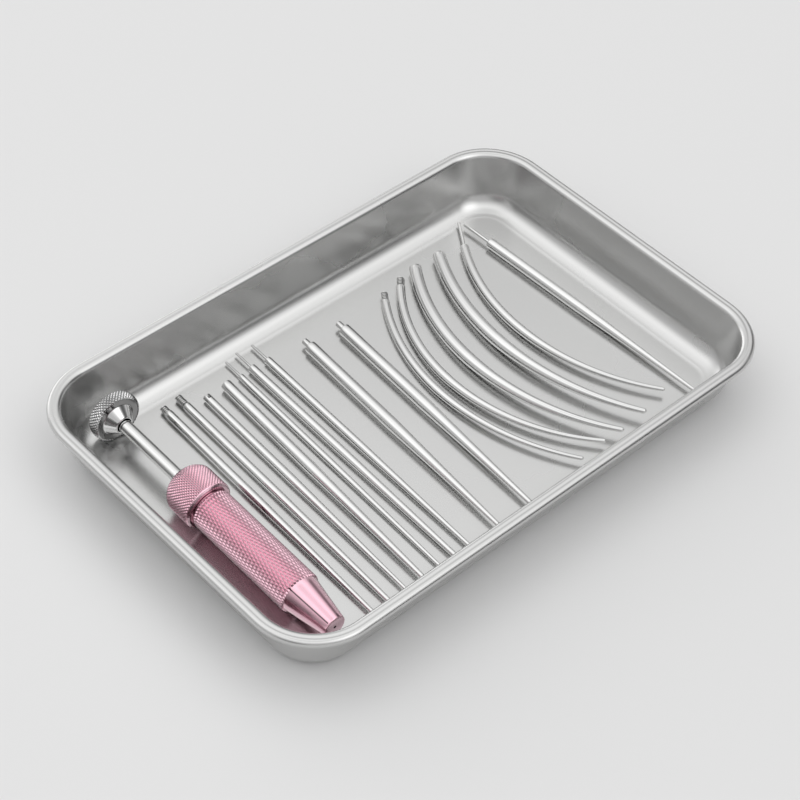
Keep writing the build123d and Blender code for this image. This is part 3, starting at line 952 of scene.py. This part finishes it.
def collar_mesh(size):
    """Knurled collar: smooth lip at the front, round dome at the back."""
    collar_r = size.collar_dia / 2
    front = size.grip_length
    back = front + size.collar_length
    mouth = size.collar_mouth / 2
    bore = size.rod_dia / 2 + mm(0.05)
    bore_depth = mm(3)
    row = size.collar_cell / CELL_STEPS
    dome_start = back - size.collar_dome
    dome_rows = 48
    lip = [
        Vector((size.grip_dia / 2 - mm(0.4), front)),
        Vector((collar_r - size.collar_lip, front)),
        Vector((collar_r, front + size.collar_lip)),
    ]
    straight = divided([lip[-1], Vector((collar_r, dome_start))], row)[1:]
    wide = collar_r - mouth
    dome = [
        Vector((mouth + wide * math.cos(turn), dome_start + size.collar_dome * math.sin(turn)))
        for turn in (math.pi / 2 * number / dome_rows for number in range(1, dome_rows + 1))
    ]
    tail = [Vector((bore, back)), Vector((bore, back - bore_depth))]
    points = lip + straight + dome + tail
    bm = turned(points, size.collar_cells * CELL_STEPS)
    lengths = lengths_along(points)
    start = lengths[len(lip) - 1] + mm(0.05)
    end = lengths[len(lip + straight + dome) - 1] - mm(0.8)
    # Painted shade on the front lip and in the bore.
    lip_back = front + size.collar_lip + mm(0.01)
    shaded = [vert for vert in bm.verts if vert.co.z < lip_back or vert.co.xy.length < bore + mm(0.05)]
    paint_shade(bm, shaded, LIP_PAINTED_SHADE)
    knurl(bm, start, end, size.collar_cells, size.collar_cell, size.knurl_depth, KNURL_PAINTED_SHADE, fade=mm(0.5))
    return closed(bm)


def knob_mesh(size):
    """Knurled wheel with its coned hub."""
    front = size.grip_length + size.collar_length + size.rod_show + size.hub_length
    back = front + size.knob_width
    edge_r = size.knob_dia / 2 - size.knob_crown
    hub_front = front - size.hub_length
    bore = size.rod_dia / 2 + mm(0.4)
    bore_depth = mm(1.6)
    screw_hole = mm(1.65)
    recess = mm(3.3)
    recess_depth = mm(2.2)
    # The hub's last corner and the tail's first are left out: they only steer the rounding beside them.
    hub = rounded([
        (screw_hole, hub_front + bore_depth),
        (bore, hub_front + bore_depth),
        (bore, hub_front, mm(0.1)),
        (size.hub_tip / 2, hub_front, mm(0.35)),
        (size.hub_base / 2, front, mm(0.3)),
        (edge_r, front, mm(0.25)),
        (size.knob_dia / 2, front + size.knob_width / 2),
    ])[:-1]
    tail = rounded([
        (edge_r, back - mm(0.05)),
        (edge_r, back, mm(0.04)),
        (recess, back, mm(0.15)),
        (recess, back - recess_depth),
        (screw_hole, back - recess_depth),
    ])[1:]
    rows = 36
    row = size.knob_width / rows
    crown = []
    for number in range(1, rows):
        bulge = 1 - (2 * number / rows - 1) ** 2
        crown.append(Vector((edge_r + size.knob_crown * bulge, front + number * row)))
    points = hub + crown + tail
    bm = turned(points, size.knob_cells * CELL_STEPS)
    # A painted dark reflection on the flat ring round the hub's foot, and painted shade in the bore.
    hub_foot = [
        vert for vert in bm.verts
        if size.hub_base / 2 < vert.co.xy.length < edge_r and abs(vert.co.z - front) < mm(0.3)
    ]
    paint_shade(bm, hub_foot, HUB_FOOT_PAINTED_SHADE)
    paint_shade(bm, [vert for vert in bm.verts if vert.co.xy.length < bore * 1.01], BORE_PAINTED_SHADE)
    lengths = lengths_along(points)
    start = lengths[len(hub)] - row
    end = lengths[len(hub + crown) - 1] + row
    knurl(bm, start, end, size.knob_cells, size.knob_cell, size.knurl_depth, KNURL_PAINTED_SHADE, fade=mm(0.15))
    return closed(bm)


def rod_mesh(size):
    """Polished rod from inside the barrel to the knob's hub."""
    hub_front = size.grip_length + size.collar_length + size.rod_show
    rod_r = size.rod_dia / 2
    pin_r = mm(1.6)
    start = mm(22.5)
    shoulder = hub_front + mm(1.5)
    end = shoulder + mm(4.5)
    points = rounded([
        (0, start),
        (rod_r, start, mm(0.25)),
        (rod_r, shoulder, mm(0.1)),
        (pin_r, shoulder),
        (pin_r, end),
        (0, end),
    ])
    return closed(turned(divided(points, mm(4)), steps=64))


class TRAY_OT_handle(bpy.types.Operator):
    """Build the knurled handle with its rod and knob"""

    bl_idname = "tray.handle"
    bl_label = "Spring handle"

    def execute(self, context):
        size = context.scene.tray_handle
        look = context.scene.tray_look
        place = handle_matrix(size)
        # Name, mesh, body, CAD node, slot, material and the angle in degrees from which an edge is sharp.
        parts = (
            ("grip_barrel", barrel_mesh, "handle", "handle_barrel", "pink_anodised", pink_metal(look), 40),
            ("grip_collar", collar_mesh, "handle", "handle_collar", "pink_anodised", pink_metal(look), 40),
            ("thumb_knob", knob_mesh, "knob", "push_knob", "knob_steel", knob_steel(look), 40),
            ("plunger_rod", rod_mesh, "plunger", "push_rod", "tool_steel", tool_steel(look), 35),
        )
        for name, make, body, node, slot, material, sharp in parts:
            bm = make(size)
            bmesh.ops.transform(bm, matrix=place, verts=bm.verts)
            piece(name, bm, body, [node], material, sharp)
        return {"FINISHED"}


class TRAY_OT_inside(bpy.types.Operator):
    """Give the small pieces inside the handle their finish"""

    bl_idname = "tray.inside"
    bl_label = "Inside pieces"

    def execute(self, context):
        look = context.scene.tray_look
        finishes = {
            "push_wire": tool_steel(look),
            "spring_seat": tool_steel(look),
            "knob_washer": tool_steel(look),
            "knob_screw": tool_steel(look),
            "return_spring": spring_steel(look),
        }
        for node, material in finishes.items():
            frame["nodes"][node].data.materials.clear()
            frame["nodes"][node].data.materials.append(material)
        return {"FINISHED"}


# ---------------------------------------------------------------- stage


# Soft lights of the studio's dome over its even grey: the direction towards a light, the radius of its full
# part and of its end, in degrees, and its strength, which is negative where the dome is shaded.
DOME_GREY = 0.64
DOME = [
    ((0.00, 0.00, 1.00), 8, 62, 0.78),
    ((0.00, 0.00, 1.00), 3, 24, -0.40),
    ((-0.40, 0.65, 0.65), 3, 26, 0.35),
    ((0.15, 1.00, 0.05), 5, 40, 1.20),
    ((0.30, -0.50, 0.80), 3, 24, 0.40),
    ((0.15, -0.75, 0.65), 3, 24, 0.62),
    ((0.70, -0.60, 0.40), 3, 24, -0.50),
    ((0.90, 0.00, 0.40), 3, 24, -0.58),
    ((0.75, 0.65, 0.05), 3, 24, -0.53),
    ((0.50, -0.85, 0.05), 3, 24, -0.53),
    ((-0.90, -0.35, 0.20), 3, 24, -0.36),
]


def studio_world():
    """A dome of soft light made of a few broad lobes over an even grey."""
    world = bpy.data.worlds.new("Studio")
    world.use_nodes = True
    tree = world.node_tree
    place = add(tree, "ShaderNodeTexCoord", (-1200, 0))
    total = DOME_GREY
    for number, (toward, full, end, strength) in enumerate(DOME):
        near = add(tree, "ShaderNodeVectorMath", (-900, -200 * number), operation="DOT_PRODUCT")
        near.inputs[1].default_value = Vector(toward).normalized()
        tree.links.new(place.outputs["Generated"], near.inputs[0])
        lobe = add(tree, "ShaderNodeMapRange", (-650, -200 * number), interpolation_type="SMOOTHSTEP")
        lobe.inputs["From Min"].default_value = math.cos(math.radians(end))
        lobe.inputs["From Max"].default_value = math.cos(math.radians(full))
        lobe.inputs["To Max"].default_value = strength
        tree.links.new(near.outputs["Value"], lobe.inputs["Value"])
        total = math_node(tree, "ADD", lobe.outputs["Result"], total, (-350, -200 * number))
    tree.links.new(total, tree.nodes["Background"].inputs["Strength"])
    tree.nodes["Background"].inputs["Color"].default_value = (1, 1, 1, 1)
    return world


class TRAY_OT_stage(bpy.types.Operator):
    """Add the pale table, the light and the camera"""

    bl_idname = "tray.stage"
    bl_label = "Stage"

    def execute(self, context):
        scene = context.scene
        view = scene.tray_view
        bm = bmesh.new()
        bmesh.ops.create_grid(bm, x_segments=2, y_segments=2, size=TABLE_REACH)
        mesh = bpy.data.meshes.new("table")
        bm.to_mesh(mesh)
        bm.free()
        table = bpy.data.objects.new("table", mesh)
        scene.collection.objects.link(table)
        material = bpy.data.materials.new("Pale table")
        material.use_nodes = True
        shader = material.node_tree.nodes["Principled BSDF"]
        shader.inputs["Base Color"].default_value = (*scene.tray_look.table, 1)
        shader.inputs["Roughness"].default_value = 0.6
        mesh.materials.append(material)

        scene.world = studio_world()
        scene.view_settings.view_transform = "Standard"

        camera = bpy.data.cameras.new("Camera")
        camera.lens = view.lens
        camera.sensor_width = 36
        made = bpy.data.objects.new("Camera", camera)
        outward = Vector((
            math.sin(view.azimuth) * math.cos(view.elevation),
            -math.cos(view.azimuth) * math.cos(view.elevation),
            math.sin(view.elevation),
        ))
        turn = outward.to_track_quat("Z", "Y").to_matrix() @ Matrix.Rotation(view.roll, 3, "Z")
        aim = Vector((view.aim_x, view.aim_y, 0))
        made.matrix_world = Matrix.Translation(aim + outward * view.distance) @ turn.to_4x4()
        scene.collection.objects.link(made)
        scene.camera = made
        return {"FINISHED"}


# ---------------------------------------------------------------- add-on


class TRAY_PT_panel(bpy.types.Panel):
    """Lists the build steps"""

    bl_idname = "TRAY_PT_panel"
    bl_label = "Instrument tray"
    bl_space_type = "VIEW_3D"
    bl_region_type = "UI"
    bl_category = "Tray"

    def draw(self, context):
        for step in STEPS:
            self.layout.operator(step.bl_idname)
        for name, settings in SETTINGS.items():
            box = self.layout.box()
            for key in settings.__annotations__:
                box.prop(getattr(context.scene, name), key)


SETTINGS = {
    "tray_shell": TRAY_PG_shell,
    "tray_handle": TRAY_PG_handle,
    "tray_tools": TRAY_PG_tools,
    "tray_look": TRAY_PG_look,
    "tray_view": TRAY_PG_view,
}
STEPS = (TRAY_OT_stage, TRAY_OT_shell, TRAY_OT_tools, TRAY_OT_handle, TRAY_OT_inside)
CLASSES = (*SETTINGS.values(), *STEPS, TRAY_PT_panel)


def register():
    """Registers the classes and puts the settings on the scene."""
    for cls in CLASSES:
        bpy.utils.register_class(cls)
    for name, settings in SETTINGS.items():
        setattr(bpy.types.Scene, name, PointerProperty(type=settings))


def unregister():
    """Takes the settings and the classes away again."""
    for name in SETTINGS:
        delattr(bpy.types.Scene, name)
    for cls in reversed(CLASSES):
        bpy.utils.unregister_class(cls)


def main():
    """Builds the whole scene."""
    register()
    bpy.ops.tray.stage()
    bpy.ops.tray.shell()
    bpy.ops.tray.tools()
    bpy.ops.tray.handle()
    bpy.ops.tray.inside()
    bpy.context.view_layer.update()


if __name__ == "__main__":
    main()
